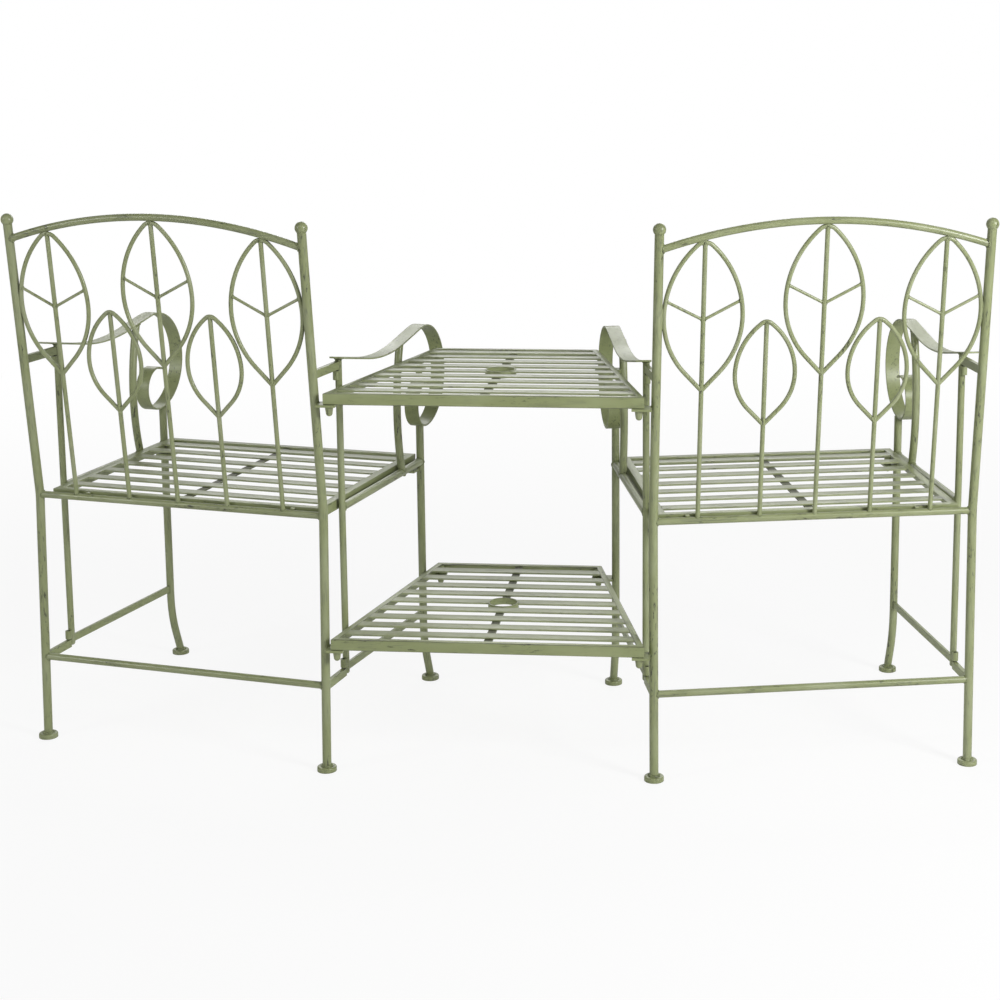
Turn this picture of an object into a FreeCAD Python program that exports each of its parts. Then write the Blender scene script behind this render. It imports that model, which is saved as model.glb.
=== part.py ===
# Companion seat bench: two metal seats turned towards each other, with a slatted
# table top and a slatted shelf that hang between them on pegs.
# Sizes are in millimetres. The floor is z = 0 and the seats face -Y.

import FreeCAD, Part
import math
import os

Vector = FreeCAD.Vector

# Layout of the two seats
inner_post_x = 274.0
splay_angle = 12.1
post_spacing = 540.0

# Back posts: upright below the seat rail, raked above it
post_radius = 7.5
post_knee_z = 440.0
post_top_z = 925.0
post_foot_lean = 14.0
post_top_lean = 53.0
post_knee_bend = 150.0
ball_radius = 10.5
foot_radius = 16.5
foot_height = 8.0
foot_edge_round = 2.5

# Rails between the back posts
back_rail_radius = 6.0
low_rail_z = 148.0
arch_end_drop = 33.4
arch_rise = 44.0

# Wire leaves of the back panel, measured along the raked back
leaf_wire_radius = 3.6
stem_radius = 3.8
vein_radius = 2.5
weld_bite = 0.7
tall_half_width = 63.7
tall_lower_length = 121.5
tall_upper_length = 122.5
tall_bottom_angle = 43.0
tall_tip_bend = 18.0
tall_post_gap = 9.8
tall_spacing = post_spacing / 2 - tall_half_width - tall_post_gap
short_half_width = 49.3
short_lower_length = 85.0
short_upper_length = 88.0
short_bottom_angle = 44.0
short_tip_bend = 12.0
short_spacing = 93.0
short_widest_drop = 207.5
vein_start_drop = 4.0
vein_end_rise = 28.0

# Arm strip: a flat bar that ends in a scroll
strip_width = 27.0
strip_thick = 3.0
strip_offset = 8.5
strip_rear_forward = 50.0
strip_rear_z = 700.2
strip_rear_angle = 9.8
strip_rear_length = 105.5
strip_dip_radius = 446.0
strip_dip_angle = 20.3
strip_front_length = 84.5
scroll_radius = 95.0
scroll_angle = 190.5
curl_radius = 42.0
curl_angle = 210.0

# Side frame under the arm strip
upright_radius = 5.75
upright_forward = 74.5
upright_bottom_z = 142.0
upright_end_round = 4.0
leg_radius = 7.25
leg_forward = 430.0
leg_top_z = 512.5
flare_start_z = 130.0
flare_radius = 230.0
flare_angle = 21.0
support_radius = 7.0
support_foot_forward = 340.0
support_belly_forward = 323.0
support_top_forward = 346.5
support_belly_z = 566.0
support_top_z = 692.0
side_rail_radius = 7.25
side_rail_z = 437.0
side_rail_end_gap = 3.0
stretcher_thick = 5.0
stretcher_height = 13.0
stretcher_rear_z = 153.5
stretcher_front_z = 143.5

# Knock-down hinges between the back posts and the side frames
bar_thick = 8.0
bar_height = 14.0
bar_end_forward = 68.0
upper_bar_z = 675.5
lower_bar_z = 140.0
hinge_forward = 64.5
hinge_gap = 2.0
socket_radius = 5.5
socket_length = 15.0
socket_bore_radius = 3.5
pin_clearance = 0.08
pin_length = 16.0

# Slatted panels: angle rails round flat slats
rail_height = 19.0
rail_thick = 3.0
flange_thick = 3.0
slat_thick = 3.0
slat_width = 24.0
strap_width = 14.0
strap_thick = 3.0

# Seats
seat_top_z = 450.0
seat_rear_forward = 6.5
seat_front_forward = 434.0
seat_rear_gaps = (8.0, 22.5)
seat_front_gaps = (11.5, 13.0)
seat_rail_height = 18.0
seat_flange_width = 15.0
seat_slat_count = 7
seat_slat_pitch = 55.6
seat_slat_middle_forward = 221.0
hook_places = (57.0, 445.0)
hook_width = 7.0
hook_thick = 2.5
hook_gap = 0.3
hook_reach_past_rail = 0.5
seat_peg_gap = 24.8
seat_peg_forward = 409.0
seat_peg_shoulder_radius = 6.5
seat_peg_radius = 5.0
seat_peg_tip_radius = 4.0
seat_peg_drop = 10.0
seat_lug_top_z = 425.0
seat_lug_thick = 4.0
seat_lug_reach = 33.0
seat_lug_rear_forward = 397.0

# Table top and shelf
table_top_z = 655.0
table_rear_y = 40.0
table_front_y = -412.0
table_rear_half_width = 261.0
table_front_half_width = 151.5
table_slat_middle_y = -187.0
table_slat_pitch = 46.8
table_front_peg_y = -322.0
shelf_top_z = 236.3
shelf_rear_y = 30.0
shelf_front_y = -437.0
shelf_rear_half_width = 261.0
shelf_front_half_width = 156.0
shelf_slat_middle_y = -201.5
shelf_slat_pitch = 47.5
shelf_front_peg_y = -430.0
panel_slat_count = 9
panel_flange_width = 11.0
panel_peg_radius = 7.0
panel_peg_tip_radius = 5.5
panel_peg_drop = 20.0
panel_peg_inset = 7.0
peg_hole_clearance = 0.4
panel_lug_thick = 4.0
panel_lug_margin = 10.0
panel_lug_wall = 4.0
panel_lug_bite = 2.0

# Parasol rings
ring_y = -194.0
ring_outer_radius = 27.0
ring_bore_radius = 24.0
ring_height = 12.0
ring_proud = 1.0


def mean(values):
    return sum(values) / len(values)


# Shapes used all over

def block(low, high):
    size = high.sub(low)
    return Part.makeBox(size.x, size.y, size.z, low)


def rod(start, end, radius):
    along = end.sub(start)
    return Part.makeCylinder(radius, along.Length, start, along)


def tube(edges, radius):
    first = edges[0]
    start = first.valueAt(first.FirstParameter)
    along = first.tangentAt(first.FirstParameter)
    section = Part.Face(Part.Wire(Part.makeCircle(radius, start, along)))
    return Part.Wire(edges).makePipe(section)


def mirrored(shape, x):
    return shape.mirror(Vector(x, 0, 0), Vector(1, 0, 0))


def both_sides(shape):
    return [shape, mirrored(shape, post_spacing / 2)]


def cut_by(shape, *tools):
    for tool in tools:
        shape = shape.cut(tool)
    return shape


def prism(corners, low_z, high_z):
    points = [Vector(x, y, low_z) for x, y in corners]
    face = Part.Face(Part.makePolygon(points + points[:1]))
    return face.extrude(Vector(0, 0, high_z - low_z))


# A flat path made of straight runs and turns. A move is a length, or a radius and an
# angle that is positive to the left. Inset shifts the whole path to its right.

def path(place, start, heading, moves, inset=0.0):
    edges = []
    along, up = start
    for move in moves:
        angle = math.radians(heading)
        right = (math.sin(angle), -math.cos(angle))
        begin = (along + inset * right[0], up + inset * right[1])
        if isinstance(move, tuple):
            radius, turn = move
            side = math.copysign(1.0, turn)
            centre = (along - side * radius * right[0], up - side * radius * right[1])
            arm = radius + side * inset
            stops = []
            for part in (0.5, 1.0):
                swing = math.radians(heading + part * turn)
                spoke = (side * math.sin(swing), -side * math.cos(swing))
                stops.append((centre[0] + arm * spoke[0], centre[1] + arm * spoke[1]))
            middle, end = stops
            along = centre[0] + radius * spoke[0]
            up = centre[1] + radius * spoke[1]
            heading += turn
            edges.append(Part.Arc(place(*begin), place(*middle), place(*end)).toShape())
        else:
            along += move * math.cos(angle)
            up += move * math.sin(angle)
            end = (along + inset * right[0], up + inset * right[1])
            edges.append(Part.makeLine(place(*begin), place(*end)))
    return edges


# Positions in one seat's own frame: x runs from the inner post to the outer post,
# forward is towards the sitter's knees.

def side_plane(x):
    return lambda forward, z: Vector(x, -forward, z)


def back_plane(x, height):
    return Vector(x, 0, height)


def post_forward(z):
    if z <= post_knee_z:
        return -post_foot_lean * (1 - z / post_knee_z)
    return -post_top_lean * (z - post_knee_z) / (post_top_z - post_knee_z)


def rake(shape):
    lean = math.degrees(math.atan2(post_top_lean, post_top_z - post_knee_z))
    raked = shape.copy()
    raked.rotate(Vector(0, 0, 0), Vector(1, 0, 0), -lean)
    raked.translate(Vector(0, 0, post_knee_z))
    return raked


# Back posts, balls and feet

def foot_disc(forward):
    disc = Part.makeCylinder(foot_radius, foot_height, Vector(0, -forward, 0))
    rim = [e for e in disc.Edges if e.BoundBox.ZMin > foot_height / 2]
    return disc.makeFillet(foot_edge_round, rim)


def ball():
    return Part.makeSphere(ball_radius, Vector(0, post_top_lean, post_top_z))


def back_post():
    start_z = foot_height / 2
    start = (post_forward(start_z), start_z)
    lower_run = post_knee_z - start_z
    lower_rise = -post_forward(start_z)
    upper_run = post_top_z - post_knee_z
    lower_heading = math.degrees(math.atan2(lower_run, lower_rise))
    upper_heading = math.degrees(math.atan2(upper_run, -post_top_lean))
    turn = upper_heading - lower_heading
    trim = post_knee_bend * math.tan(math.radians(turn / 2))
    moves = [math.hypot(lower_run, lower_rise) - trim,
             (post_knee_bend, turn),
             math.hypot(upper_run, post_top_lean) - trim]
    post = tube(path(side_plane(0), start, lower_heading, moves), post_radius)
    return cut_by(post, foot_disc(-post_foot_lean), ball())


# Rails across the back

def straight_back_rail(z):
    left = Vector(0, -post_forward(z), z)
    right = Vector(post_spacing, -post_forward(z), z)
    return rod(left, right, back_rail_radius)


def arch_end_height():
    raked_length = math.hypot(post_top_z - post_knee_z, post_top_lean)
    return raked_length - arch_end_drop


def arch_radius():
    return ((post_spacing / 2) ** 2 + arch_rise ** 2) / (2 * arch_rise)


def arch_height(x):
    reach = x - post_spacing / 2
    centre_height = arch_end_height() + arch_rise - arch_radius()
    return centre_height + math.sqrt(arch_radius() ** 2 - reach ** 2)


def top_rail():
    ends = [back_plane(x, arch_end_height()) for x in (0, post_spacing)]
    apex = back_plane(post_spacing / 2, arch_end_height() + arch_rise)
    return tube([Part.Arc(ends[0], apex, ends[1]).toShape()], back_rail_radius)


# Leaves: half an outline from the bottom point to the tip, then its mirror image

def leaf(x, widest, half_width, lower, upper, slope, tip_bend):
    lean = math.radians(slope)
    low_radius = (lower * math.tan(lean) - half_width) / (1 / math.cos(lean) - 1)
    straight = (half_width - low_radius * (1 - math.cos(lean))) / math.sin(lean)
    tip_height = upper - tip_bend
    high_radius = (half_width ** 2 + tip_height ** 2 - tip_bend ** 2) / (2 * (half_width - tip_bend))
    sweep = math.degrees(math.atan2(tip_height, high_radius - half_width))
    moves = [straight, (low_radius, slope), (high_radius, sweep), (tip_bend, 90 - sweep)]
    half = tube(path(back_plane, (x, widest - lower), 90 - slope, moves), leaf_wire_radius)
    outline = half.fuse(mirrored(half, x)).removeSplitter()
    return cut_by(outline, rod(back_plane(x, 0), back_plane(x, widest), stem_radius))


def tall_leaf_tip(x):
    slope = math.asin((x - post_spacing / 2) / arch_radius())
    underside = arch_height(x) - back_rail_radius / math.cos(slope)
    return underside - leaf_wire_radius + weld_bite


def tall_leaf_widest(x):
    return tall_leaf_tip(x) - tall_upper_length


def tall_leaf(x):
    return leaf(x, tall_leaf_widest(x), tall_half_width, tall_lower_length,
                tall_upper_length, tall_bottom_angle, tall_tip_bend)


def short_leaf_widest():
    return arch_end_height() - short_widest_drop


def short_leaf(x):
    return leaf(x, short_leaf_widest(), short_half_width, short_lower_length,
                short_upper_length, short_bottom_angle, short_tip_bend)


def stem(x, tip):
    return rod(back_plane(x, 0), back_plane(x, tip), stem_radius)


def side_vein(x, side):
    widest = tall_leaf_widest(x)
    high_radius = (tall_half_width ** 2 + (tall_upper_length - tall_tip_bend) ** 2
                   - tall_tip_bend ** 2) / (2 * (tall_half_width - tall_tip_bend))
    reach = tall_half_width - high_radius + math.sqrt(high_radius ** 2 - vein_end_rise ** 2)
    return rod(back_plane(x, widest - vein_start_drop),
               back_plane(x + side * reach, widest + vein_end_rise), vein_radius)


def back_panel(posts):
    middle = post_spacing / 2
    tall_places = [middle - tall_spacing, middle, middle + tall_spacing]
    short_places = [middle - short_spacing, middle + short_spacing]
    rail = top_rail()
    tall = [cut_by(tall_leaf(x), rail) for x in tall_places]
    short = [cut_by(short_leaf(x), *tall) for x in short_places]
    short_tip = short_leaf_widest() + short_upper_length
    stems = [cut_by(stem(x, tall_leaf_tip(x)), leaf_shape) for x, leaf_shape in zip(tall_places, tall)]
    stems += [cut_by(stem(x, short_tip), leaf_shape) for x, leaf_shape in zip(short_places, short)]
    veins = []
    for x, leaf_shape in zip(tall_places, tall):
        for side in (-1, 1):
            veins.append(cut_by(side_vein(x, side), stem(x, tall_leaf_tip(x)), leaf_shape))
    seat_rail = straight_back_rail(post_knee_z)
    return {
        "top_rail": [cut_by(rake(rail), *posts)],
        "tall_leaves": [cut_by(rake(shape), *posts) for shape in tall],
        "short_leaves": [rake(shape) for shape in short],
        "leaf_stems": [cut_by(rake(shape), seat_rail) for shape in stems],
        "leaf_veins": [rake(shape) for shape in veins],
    }


# Arm strip and the tubes under it

def strip_moves():
    return [strip_rear_length, (strip_dip_radius, strip_dip_angle), strip_front_length,
            (scroll_radius, -scroll_angle), (curl_radius, -curl_angle)]


def strip_band(moves, outer, inner, width):
    # the flat band between two insets of the strip's outline
    low_x = -strip_offset - width / 2
    start = (strip_rear_forward, strip_rear_z)
    sides = [path(side_plane(low_x), start, -strip_rear_angle, moves, depth) for depth in (outer, inner)]
    caps = []
    for end in (0, -1):
        points = [edges[end].Vertexes[end].Point for edges in sides]
        caps.append(Part.makeLine(*points))
    section = Part.Face(Part.Wire(Part.__sortEdges__(sides[0] + sides[1] + caps)))
    return section.extrude(Vector(width, 0, 0))


def arm_strip(width):
    return strip_band(strip_moves(), 0.0, strip_thick, width)


def over_strip():
    # the strip's rear run and the space over it, for trimming the tubes that meet it
    return strip_band(strip_moves()[:3], -strip_width, strip_thick, 4 * strip_width)


def rear_upright():
    column = Part.makeCylinder(upright_radius, strip_rear_z - upright_bottom_z,
                               Vector(0, -upright_forward, upright_bottom_z))
    end = [e for e in column.Edges if e.BoundBox.ZMax < upright_bottom_z + upright_radius]
    return column.makeFillet(upright_end_round, end)


def leg_foot_forward():
    angle = math.radians(flare_angle)
    bend_height = flare_radius * math.sin(angle)
    straight_height = flare_start_z - bend_height - foot_height
    return leg_forward + flare_radius * (1 - math.cos(angle)) + straight_height * math.tan(angle)


def front_leg():
    angle = math.radians(flare_angle)
    straight = (flare_start_z - flare_radius * math.sin(angle) - foot_height / 2) / math.cos(angle)
    moves = [leg_top_z - flare_start_z, (flare_radius, flare_angle), straight]
    leg = tube(path(side_plane(0), (leg_forward, leg_top_z), -90.0, moves), leg_radius)
    return cut_by(leg, foot_disc(leg_foot_forward()))


def arm_support():
    place = side_plane(0)
    bow = Part.Arc(place(support_foot_forward, side_rail_z),
                   place(support_belly_forward, support_belly_z),
                   place(support_top_forward, support_top_z))
    return tube([bow.toShape()], support_radius)


def side_frame():
    strip = arm_strip(strip_width)
    upright = cut_by(rear_upright(), over_strip())
    leg = cut_by(front_leg(), arm_strip(4 * strip_width))
    rail_rear = Vector(0, -upright_forward - side_rail_end_gap, side_rail_z)
    rail_front = Vector(0, -leg_forward, side_rail_z)
    rail = cut_by(rod(rail_rear, rail_front, side_rail_radius), upright, leg)
    ends = [(upright_forward, stretcher_rear_z), (leg_forward, stretcher_front_z)]
    outline = [(forward, z - stretcher_height / 2) for forward, z in ends]
    outline += [(forward, z + stretcher_height / 2) for forward, z in reversed(ends)]
    points = [Vector(-stretcher_thick / 2, -forward, z) for forward, z in outline + outline[:1]]
    stretcher = Part.Face(Part.makePolygon(points)).extrude(Vector(stretcher_thick, 0, 0))
    return {
        "arm_strips": strip,
        "rear_uprights": upright,
        "front_legs": leg,
        "arm_supports": cut_by(arm_support(), rail, over_strip()),
        "side_seat_rails": rail,
        "low_side_stretchers": cut_by(stretcher, upright, leg),
    }


# Hinges: a bar from the back post carries a pin, the upright carries the socket

def bracket_bar(low_z, post):
    bar = block(Vector(-bar_thick / 2, -bar_end_forward, low_z),
                Vector(bar_thick / 2, -post_forward(low_z), low_z + bar_height))
    return cut_by(bar, post)


def hinge_socket(low_z, upright):
    foot = Vector(0, -hinge_forward, low_z)
    socket = Part.makeCylinder(socket_radius, socket_length, foot)
    bore = Part.makeCylinder(socket_bore_radius, socket_length, foot)
    return cut_by(socket, bore, upright)


def hinge_pin(low_z):
    return Part.makeCylinder(socket_bore_radius - pin_clearance, pin_length,
                             Vector(0, -hinge_forward, low_z))


def hinges(post, upright):
    upper_socket_z = upper_bar_z - hinge_gap - socket_length
    lower_bar_top_z = lower_bar_z + bar_height
    lower_socket_z = lower_bar_top_z + hinge_gap
    return {
        "bracket_bars": [bracket_bar(upper_bar_z, post), bracket_bar(lower_bar_z, post)],
        "hinge_sockets": [hinge_socket(upper_socket_z, upright), hinge_socket(lower_socket_z, upright)],
        "hinge_pins": [hinge_pin(upper_bar_z - pin_length), hinge_pin(lower_bar_top_z)],
    }


# Slatted panels: four mitred angle rails, slats and a strap under them

def inset(corners, distance):
    # corners run anticlockwise, and each side moves inwards by the distance
    lines = []
    for (x0, y0), (x1, y1) in zip(corners, corners[1:] + corners[:1]):
        length = math.hypot(x1 - x0, y1 - y0)
        normal = (-(y1 - y0) / length, (x1 - x0) / length)
        lines.append((normal, normal[0] * x0 + normal[1] * y0 + distance))
    moved = []
    for (n0, d0), (n1, d1) in zip(lines[-1:] + lines[:-1], lines):
        det = n0[0] * n1[1] - n0[1] * n1[0]
        moved.append(((d0 * n1[1] - d1 * n0[1]) / det, (n0[0] * d1 - n1[0] * d0) / det))
    return moved


def frame_rails(corners, flange_width, low_z, high_z):
    # upright walls with a flange inwards from the top of each
    inside = inset(corners, rail_thick)
    tips = inset(corners, flange_width)
    rails = []
    for i in range(4):
        j = (i + 1) % 4
        wall = prism([corners[i], corners[j], inside[j], inside[i]], low_z, high_z)
        flange = prism([inside[i], inside[j], tips[j], tips[i]], high_z - flange_thick, high_z)
        rails.append(wall.fuse(flange).removeSplitter())
    return rails


def slats(outline, low_z, middle_y, pitch, count):
    centres = [middle_y + (i - (count - 1) / 2) * pitch for i in range(count)]
    inside = prism(outline, low_z, low_z + slat_thick)
    reach = max(abs(value) for corner in outline for value in corner)
    return [inside.common(block(Vector(-reach, y - slat_width / 2, low_z),
                                Vector(reach, y + slat_width / 2, low_z + slat_thick)))
            for y in centres]


def strap(x, front_y, rear_y, high_z):
    # from wall to wall, under the slats
    return block(Vector(x - strap_width / 2, front_y + rail_thick, high_z - strap_thick),
                 Vector(x + strap_width / 2, rear_y - rail_thick, high_z))


def peg(x, y, top_z, low_z, taper_z, radius, tip_radius):
    # a stud from the flange down, tapered and rounded below its lug
    stop_z = low_z + tip_radius
    axis = [Vector(0, 0, low_z), Vector(0, 0, top_z)]
    side = [Vector(radius, 0, top_z), Vector(radius, 0, taper_z), Vector(tip_radius, 0, stop_z)]
    round_middle = Vector(tip_radius * math.sqrt(0.5), 0, stop_z - tip_radius * math.sqrt(0.5))
    edges = [Part.makeLine(axis[0], axis[1]),
             Part.makeLine(axis[1], side[0]),
             Part.makeLine(side[0], side[1]),
             Part.makeLine(side[1], side[2]),
             Part.Arc(side[2], round_middle, axis[0]).toShape()]
    stud = Part.Face(Part.Wire(edges)).revolve(Vector(0, 0, 0), Vector(0, 0, 1), 360)
    stud.translate(Vector(x, y, 0))
    return stud


# Seat of one chair, in its own frame

def seat_corners():
    # the gaps are from the axes of the inner and the outer side tubes
    front, rear = -seat_front_forward, -seat_rear_forward
    return [(seat_front_gaps[0], front), (post_spacing - seat_front_gaps[1], front),
            (post_spacing - seat_rear_gaps[1], rear), (seat_rear_gaps[0], rear)]


def seat_rail_low_z():
    return seat_top_z - seat_rail_height


def seat_peg():
    # a shoulder stands on the lug, and a thinner stud drops through it
    x, y = seat_peg_gap, -seat_peg_forward
    top_z = seat_top_z - flange_thick
    lug_low_z = seat_lug_top_z - seat_lug_thick
    stud = peg(x, y, top_z, lug_low_z - seat_peg_drop, lug_low_z, seat_peg_radius, seat_peg_tip_radius)
    shoulder = rod(Vector(x, y, seat_lug_top_z), Vector(x, y, top_z), seat_peg_shoulder_radius)
    return stud.fuse(shoulder).removeSplitter()


def seat_hook(x):
    # a small tab from the frame's rear wall that lies on the chair's seat-level rail
    low_z = post_knee_z + back_rail_radius + hook_gap
    return block(Vector(x - hook_width / 2, -seat_rear_forward, low_z),
                 Vector(x + hook_width / 2, hook_reach_past_rail, low_z + hook_thick))


def seat():
    # the flanges lie on top, and the slats end against their edges
    corners = seat_corners()
    low_z = seat_top_z - slat_thick
    return {
        "seat_frame": frame_rails(corners, seat_flange_width, seat_rail_low_z(), seat_top_z),
        "seat_slats": slats(inset(corners, seat_flange_width), low_z, -seat_slat_middle_forward,
                            seat_slat_pitch, seat_slat_count),
        "seat_strap": [strap(post_spacing / 2, -seat_front_forward, -seat_rear_forward, low_z)],
        "seat_pegs": both_sides(seat_peg()),
        "seat_hooks": [seat_hook(x) for x in hook_places],
    }


def seat_lug(leg):
    low_z = seat_lug_top_z - seat_lug_thick
    plate = block(Vector(0, -leg_forward, low_z),
                  Vector(seat_lug_reach, -seat_lug_rear_forward, seat_lug_top_z))
    hole = Part.makeCylinder(seat_peg_radius + peg_hole_clearance, seat_lug_thick,
                             Vector(seat_peg_gap, -seat_peg_forward, low_z))
    return cut_by(plate, hole, leg)


# Table top and shelf, in the frame of the whole bench

def table_corners():
    return [(-table_front_half_width, table_front_y), (table_front_half_width, table_front_y),
            (table_rear_half_width, table_rear_y), (-table_rear_half_width, table_rear_y)]


def shelf_corners():
    return [(-shelf_front_half_width, shelf_front_y), (shelf_front_half_width, shelf_front_y),
            (shelf_rear_half_width, shelf_rear_y), (-shelf_rear_half_width, shelf_rear_y)]


def peg_places(corners, front_y):
    # two on the side rails at front_y, then two at the rear corners
    front, rear = inset(corners, panel_peg_inset)[1:3]
    share = (front_y - front[1]) / (rear[1] - front[1])
    side_x = front[0] + share * (rear[0] - front[0])
    return [(-side_x, front_y), (side_x, front_y), rear, (-rear[0], rear[1])]


def ring(top_z):
    foot = Vector(0, ring_y, top_z + ring_proud - ring_height)
    outside = Part.makeCylinder(ring_outer_radius, ring_height, foot)
    bore = Part.makeCylinder(ring_bore_radius, ring_height, foot)
    return outside.cut(bore)


def panel(name, corners, top_z, front_peg_y, slat_middle_y, slat_pitch):
    well = Part.makeCylinder(ring_outer_radius, 2 * ring_height, Vector(0, ring_y, top_z - ring_height))
    front_y, rear_y = corners[0][1], corners[2][1]
    rest_z = top_z - rail_height
    slat_low_z = top_z - slat_thick
    rails = frame_rails(corners, panel_flange_width, rest_z, top_z)
    studs = [peg(x, y, top_z - flange_thick, rest_z - panel_peg_drop,
                 rest_z - panel_lug_thick, panel_peg_radius, panel_peg_tip_radius)
             for x, y in peg_places(corners, front_peg_y)]
    return {
        name + "_frame": rails,
        name + "_slats": [slat.cut(well)
                          for slat in slats(inset(corners, panel_flange_width), slat_low_z, slat_middle_y,
                                            slat_pitch, panel_slat_count)],
        name + "_strap": [strap(0, front_y, rear_y, slat_low_z).cut(well)],
        name + "_ring": [ring(top_z)],
        name + "_pegs": [cut_by(stud, *rails) for stud in studs],
    }


def panel_lug(peg_place, carrier_place, carrier, top_z):
    # a plate from the tube that carries it to just past the peg, under the panel's frame
    x, y = peg_place
    high_z = top_z - rail_height
    hole_radius = panel_peg_radius + peg_hole_clearance
    low = Vector(x - hole_radius - panel_lug_wall, min(y, carrier_place.y) - panel_lug_margin,
                 high_z - panel_lug_thick)
    high = Vector(carrier_place.x - post_radius + panel_lug_bite,
                  max(y, carrier_place.y) + panel_lug_margin, high_z)
    hole = Part.makeCylinder(hole_radius, panel_lug_thick, Vector(x, y, low.z))
    return cut_by(block(low, high), hole, carrier)


# One seat in its own frame, then set out on the left (+X) and mirrored to the right

def chair():
    posts = both_sides(back_post())
    parts = {"back_posts": posts}
    parts["post_finials"] = both_sides(ball())
    parts["foot_discs"] = both_sides(foot_disc(-post_foot_lean)) + both_sides(foot_disc(leg_foot_forward()))
    parts.update(back_panel(posts))
    parts["seat_level_rail"] = [cut_by(straight_back_rail(post_knee_z), *posts)]
    parts["low_rear_stretcher"] = [cut_by(straight_back_rail(low_rail_z), *posts)]
    frame = side_frame()
    for name, shape in frame.items():
        parts[name] = both_sides(shape)
    for name, shapes in hinges(posts[0], frame["rear_uprights"]).items():
        parts[name] = [copy for shape in shapes for copy in both_sides(shape)]
    parts["peg_lugs"] = both_sides(seat_lug(frame["front_legs"]))
    parts.update(seat())
    return parts


def set_out(shape):
    placed = shape.copy()
    placed.rotate(Vector(0, 0, 0), Vector(0, 0, 1), -splay_angle)
    placed.translate(Vector(inner_post_x, 0, 0))
    return placed


def left_panel_lugs(nodes):
    post, leg = nodes["left_back_posts"][0], nodes["left_front_legs"][0]
    support = nodes["left_arm_supports"][0]
    levels = [(table_corners(), table_top_z, table_front_peg_y, support, support_belly_forward),
              (shelf_corners(), shelf_top_z, shelf_front_peg_y, leg, leg_forward)]
    lugs = []
    for corners, top_z, front_peg_y, front_carrier, front_forward in levels:
        _, front, rear, _ = peg_places(corners, front_peg_y)
        lug_z = top_z - rail_height
        for place, carrier, forward in ((rear, post, post_forward(lug_z)),
                                        (front, front_carrier, front_forward)):
            carrier_place = set_out(Part.Vertex(0, -forward, lug_z)).Point
            lugs.append(panel_lug(place, carrier_place, carrier, top_z))
    return lugs


def bench():
    nodes = {}
    for name, shapes in chair().items():
        nodes["left_" + name] = [set_out(shape) for shape in shapes]
    nodes["left_peg_lugs"] += left_panel_lugs(nodes)
    for name, shapes in list(nodes.items()):
        nodes[name.replace("left_", "right_")] = [mirrored(shape, 0) for shape in shapes]
    nodes.update(panel("table", table_corners(), table_top_z, table_front_peg_y,
                       table_slat_middle_y, table_slat_pitch))
    nodes.update(panel("shelf", shelf_corners(), shelf_top_z, shelf_front_peg_y,
                       shelf_slat_middle_y, shelf_slat_pitch))
    return nodes


# Write every part with the origin on the floor under the middle of the bench

def write_parts(nodes):
    os.makedirs("parts", exist_ok=True)
    reach = Part.makeCompound(nodes["left_post_finials"] + nodes["left_arm_strips"]).BoundBox
    centre = Vector(0, -mean([reach.YMin, reach.YMax]), 0)
    for name, shapes in nodes.items():
        solids = [solid for shape in shapes for solid in shape.Solids]
        group = solids[0] if len(solids) == 1 else Part.makeCompound(solids)
        group.translate(centre)
        group.exportStep(os.path.join("parts", name + ".step"))


write_parts(bench())
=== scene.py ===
import math

import bmesh
import bpy
from mathutils import Matrix, Vector
from mathutils.bvhtree import BVHTree


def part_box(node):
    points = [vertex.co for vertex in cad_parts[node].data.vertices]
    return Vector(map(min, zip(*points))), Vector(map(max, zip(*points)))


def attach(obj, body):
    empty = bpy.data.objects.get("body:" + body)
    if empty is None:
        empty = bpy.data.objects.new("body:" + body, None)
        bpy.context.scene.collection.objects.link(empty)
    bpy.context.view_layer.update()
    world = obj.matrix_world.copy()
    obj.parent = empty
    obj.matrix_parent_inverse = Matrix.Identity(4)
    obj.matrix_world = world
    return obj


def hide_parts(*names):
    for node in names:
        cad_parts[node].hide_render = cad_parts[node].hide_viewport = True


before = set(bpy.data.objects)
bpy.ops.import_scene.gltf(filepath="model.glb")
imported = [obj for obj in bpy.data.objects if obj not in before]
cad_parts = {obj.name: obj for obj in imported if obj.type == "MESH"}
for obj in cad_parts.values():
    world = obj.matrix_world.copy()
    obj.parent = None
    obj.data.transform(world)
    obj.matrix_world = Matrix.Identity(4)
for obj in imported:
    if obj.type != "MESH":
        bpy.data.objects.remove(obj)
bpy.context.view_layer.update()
print("frame loaded:", len(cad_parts), "nodes")


# The bench's own directions

bench = {
    "innerPostX": 0.274,      # middle of the bench to the axis of an inner back post
    "splay": math.radians(12.1),
    "ringForward": 0.194,     # the parasol rings' axis, forward of the inner back posts
}
ringLow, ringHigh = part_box("table_ring")
postLineY = (ringLow.y + ringHigh.y) / 2 + bench["ringForward"]
sides = {"left": 1, "right": -1}
panelBodies = {"table": "table_top", "shelf": "lower_shelf"}


def chairMatrix(side):
    # a seat's own frame: x from its inner post outwards, y towards the back, z up
    turn = Matrix.Rotation(-side * bench["splay"], 4, "Z")
    mirror = Matrix.Diagonal((side, 1, 1, 1))
    return Matrix.Translation((side * bench["innerPostX"], postLineY, 0)) @ turn @ mirror


# Small helpers for node trees

def join(tree, source, target):
    # source: another node's output, or a plain value
    if isinstance(source, bpy.types.NodeSocket):
        tree.links.new(source, target)
    else:
        target.default_value = source


def addNode(tree, kind, settings=None, sockets=None):
    made = tree.nodes.new(kind)
    for name, value in (settings or {}).items():
        setattr(made, name, value)
    for name, source in (sockets or {}).items():
        join(tree, source, made.inputs[name])
    return made


def addSockets(tree, direction, kinds):
    for name, kind in kinds.items():
        tree.interface.new_socket(name, in_out=direction, socket_type="NodeSocket" + kind)


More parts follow.
